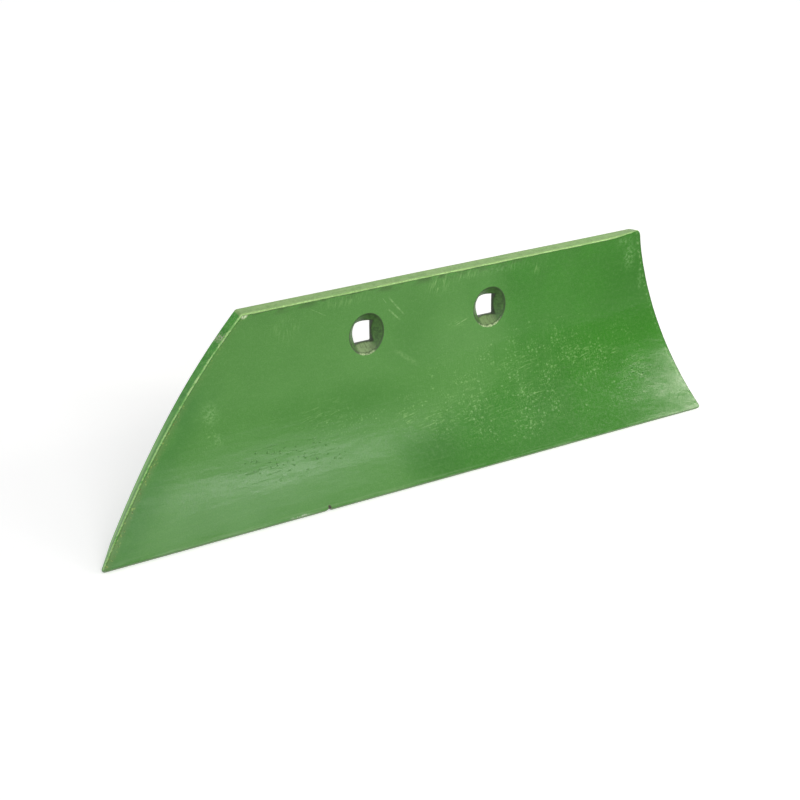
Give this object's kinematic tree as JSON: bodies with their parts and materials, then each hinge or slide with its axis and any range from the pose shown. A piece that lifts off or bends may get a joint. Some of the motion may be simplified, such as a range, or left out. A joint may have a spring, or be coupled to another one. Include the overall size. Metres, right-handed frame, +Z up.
{
  "type": "skimmer mouldboard",
  "caption": "Painted steel strip with a hollow face, one square end, one raked end, a lower edge thinned from the back, and countersunk square bolt holes.",
  "frame": {"origin": "on the back of the plate, midway between the two bolt holes, where it seats on its leg", "axes": "+X along the strip towards its square end, +Y out of the back along the bolts, +Z up at the bolt holes"},
  "size_m": [0.4317, 0.0372, 0.1211],
  "materials": {
    "painted_steel": "semi-gloss green paint over hot-pressed steel, worn bright along the front arrises"
  },
  "bodies": {
    "root": {"mouldboard_plate": "painted_steel"}
  },
  "joints": []
}
